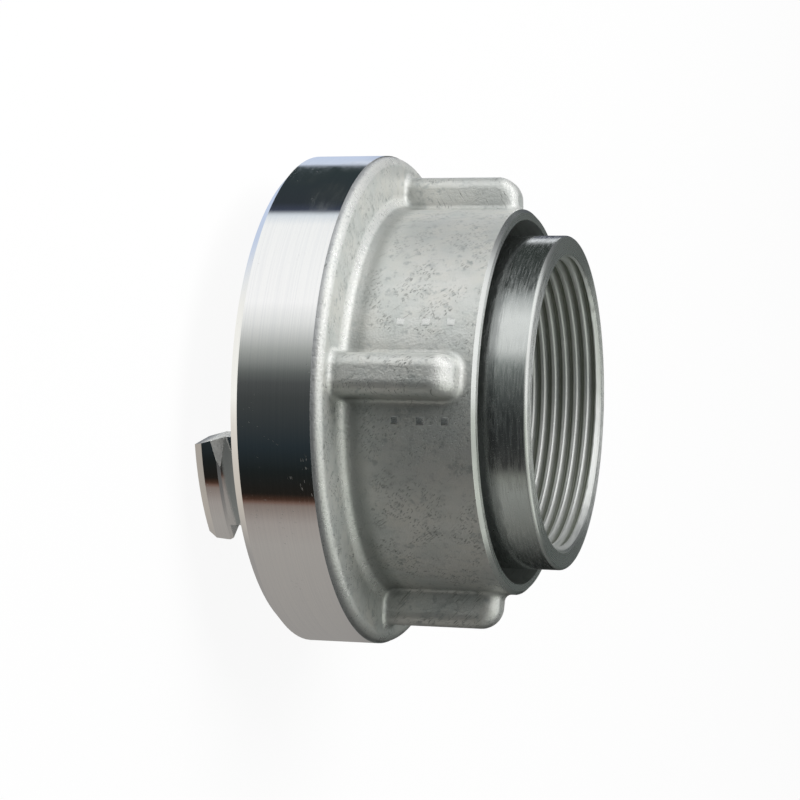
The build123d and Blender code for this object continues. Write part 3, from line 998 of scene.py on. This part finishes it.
def thread_rows(bm):
    """Rows of points that climb with the helix, held between the start and the end."""
    rows = int((SOCKET_END - THREAD_START) / PITCH * ROWS_PER_PITCH) + 1 + ROWS_PER_PITCH
    grid = []
    for row in range(rows + 1):
        line = []
        for number in range(SIDES):
            angle = 2 * pi * number / SIDES
            climb = (row / ROWS_PER_PITCH - 1 + number / SIDES) * PITCH
            height = min(max(THREAD_START + climb, THREAD_START), SOCKET_END)
            radius = thread_radius(angle, height)
            line.append(bm.verts.new((radius * cos(angle), radius * sin(angle), height)))
        grid.append(line)
    return grid


print("profile corners:", len(SOCKET_PROFILE))

# %% [markdown]
# ## Put the socket together
#
# All points are there, and faces have to join them. A modifier could turn a profile round
# the axis, but it can't join the thread's last row to it, so the faces are made one by
# one in a bmesh. Rows that were held back at a plane lie on each other: such points are
# merged afterwards, and the faces that lose a side go with them.

# %% Put the socket together
def make_socket():
    bm = bmesh.new()
    grid = thread_rows(bm)
    last = len(grid) - 1
    for row in range(last):
        for number in range(SIDES):
            onward = (number + 1) % SIDES
            shift = ROWS_PER_PITCH if onward == 0 else 0
            low, high = min(row + shift, last), min(row + 1 + shift, last)
            corners = [grid[row][number], grid[row + 1][number],
                       grid[high][onward], grid[low][onward]]
            if low == high:
                corners = corners[:3]
            bm.faces.new(corners)
    rings = [grid[last]] + [ring_of(bm, *corner) for corner in SOCKET_PROFILE] + [grid[0]]
    for upper, lower in zip(rings, rings[1:]):
        for number in range(SIDES):
            onward = (number + 1) % SIDES
            bm.faces.new((upper[number], upper[onward], lower[onward], lower[number]))
    bmesh.ops.remove_doubles(bm, verts=bm.verts, dist=0.0005 * MM)
    bmesh.ops.recalc_face_normals(bm, faces=bm.faces)
    piece = piece_from(bm, "cut_socket")
    piece.data.set_sharp_from_angle(angle=radians(38))
    return piece


cut_socket = make_socket()
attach(cut_socket, "socket")
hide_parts("threaded_socket")
print("socket faces:", len(cut_socket.data.polygons))

# %% [markdown]
# ## Satin turned socket
#
# The socket is turned more coarsely than the band and isn't polished after it. Its
# reflections are softer and frayed at their edges, because each groove throws the
# light a little differently. Roughness that changes from groove to groove does that.
# Close to the skirt's rim a dark zone of painted shade runs round.
# The thread is satin too: pale on its crests, and darker in its roots with painted shade.

# %% Satin finish and cut thread
# The painted shade grows between the first two heights and ends between the last two.
SHADE_ZONE_HEIGHTS = (50.0 * MM, 52.0 * MM, 56.2 * MM, 57.8 * MM)


def satin_turned():
    finish, tree, shader = start_finish("satin_turned", Metallic=1.0)
    position, radius, height, along = lathe_coordinates(tree)
    around = unroll(tree, position)
    grooves = groove_noise(tree, along, 5.0, 3.0)
    streaks = streak_noise(tree, position, radius, along, 4, 0.30, 3.0)
    streaks = rise(tree, streaks, 0.34, 0.66)
    cloud = spot_noise(tree, position, 7, 2.0)
    wobble = spot_noise(tree, position, 0.7)
    scuffs = nicks(tree, around, along, wobble, -72, 1.0, 0.16, 0.10)
    tone = blend_colours(tree, streaks, (0.66, 0.68, 0.67), (0.73, 0.75, 0.74))
    tone = blend_colours(tree, rise(tree, cloud, 0.35, 0.65), tone, (0.66, 0.68, 0.67))
    frayed = calc(tree, "MULTIPLY_ADD", streaks, 0.5 * MM, height)
    rim_shade = between(tree, frayed, *SHADE_ZONE_HEIGHTS)
    # Painted shade near the skirt's rim: the tone is darkened there.
    tone = blend_colours(tree, calc(tree, "MULTIPLY", rim_shade, 0.64), tone, (0.18, 0.19, 0.19))
    tree.links.new(tone, shader.inputs["Base Color"])
    dull = calc(tree, "MULTIPLY_ADD", streaks, 0.13, 0.15)
    dull = calc(tree, "MULTIPLY_ADD", scuffs, 0.15, dull)
    tree.links.new(dull, shader.inputs["Roughness"])
    turned_grain(tree, shader, 0.35)
    depth = calc(tree, "MULTIPLY_ADD", streaks, 0.8, grooves)
    relief(tree, shader, depth, 0.003)
    return finish


def cut_thread():
    finish, tree, shader = start_finish("cut_thread", Metallic=0.9)
    position, radius, _, along = lathe_coordinates(tree)
    streaks = streak_noise(tree, position, radius, along, 16, 0.5, 3.0)
    streaks = rise(tree, streaks, 0.36, 0.64)
    in_root = rise(tree, radius, CREST_RADIUS + 0.65 * MM, ROOT_RADIUS)
    tone = blend_colours(tree, streaks, (0.80, 0.82, 0.80), (0.90, 0.91, 0.89))
    # Painted shade: the roots of the thread are darkened; they are also rougher.
    tone = blend_colours(tree, in_root, tone, (0.34, 0.36, 0.31))
    tree.links.new(tone, shader.inputs["Base Color"])
    dull = calc(tree, "MULTIPLY_ADD", streaks, 0.08, 0.34)
    dull = calc(tree, "MULTIPLY_ADD", in_root, 0.12, dull)
    tree.links.new(dull, shader.inputs["Roughness"])
    relief(tree, shader, streaks, 0.002)
    return finish


SATIN, END_FACE, THREAD = range(3)


def finish_socket(piece):
    """Satin outside and below, faced at the end, and clean in the thread."""
    for finish in (satin_turned(), faced_finish, cut_thread()):
        piece.data.materials.append(finish)
    counts = [0, 0, 0]
    for face in piece.data.polygons:
        reach = hypot(face.center.x, face.center.y)
        face.material_index = SATIN
        if face.center.z > SOCKET_END - 0.5 * MM and reach > MOUTH_RADIUS - 0.15 * MM:
            face.material_index = END_FACE
        elif face.center.z > THREAD_START and reach < ROOT_RADIUS + 0.05 * MM:
            face.material_index = THREAD
        counts[face.material_index] += 1
    return counts


print("faces satin, faced and threaded:", finish_socket(cut_socket))

# %% [markdown]
# ## Rubber and spring steel
#
# The lip seal and the gasket are moulded in black rubber. It is matt, with a faint
# bloom of talc in patches. The retaining ring sits out of sight in its groove: drawn
# spring wire, a little darker than the aluminium, with marks along its length.

# %% Rubber and wire
def moulded_rubber(name, bloom):
    finish, tree, shader = start_finish(name, Specular_IOR_Level=0.35)
    position = lathe_coordinates(tree)[0]
    patches = rise(tree, spot_noise(tree, position, 5, 3.0, 0.6), 0.45, 0.75)
    tone = blend_colours(tree, patches, (0.018, 0.018, 0.019), bloom)
    tree.links.new(tone, shader.inputs["Base Color"])
    dull = calc(tree, "MULTIPLY_ADD", patches, 0.25, 0.5)
    tree.links.new(dull, shader.inputs["Roughness"])
    relief(tree, shader, spot_noise(tree, position, 0.35, 3.0), 0.02, 0.5)
    return finish


def drawn_wire():
    finish, tree, shader = start_finish("drawn_wire", Metallic=1.0)
    position, radius, _, along = lathe_coordinates(tree)
    marks = streak_noise(tree, position, radius, along, 12, 0.2, 3.0)
    tone = blend_colours(tree, marks, (0.30, 0.295, 0.285), (0.44, 0.43, 0.42))
    tree.links.new(tone, shader.inputs["Base Color"])
    tree.links.new(calc(tree, "MULTIPLY_ADD", marks, 0.2, 0.25), shader.inputs["Roughness"])
    relief(tree, shader, marks, 0.003)
    return finish


for node_name, finish in (
    ("lip_seal", moulded_rubber("seal_rubber", (0.045, 0.045, 0.044))),
    ("thread_gasket", moulded_rubber("gasket_rubber", (0.035, 0.034, 0.033))),
    ("retaining_ring", drawn_wire()),
):
    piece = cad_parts[node_name]
    piece.data.materials.clear()
    piece.data.materials.append(finish)
    print(node_name, "has", finish.name)
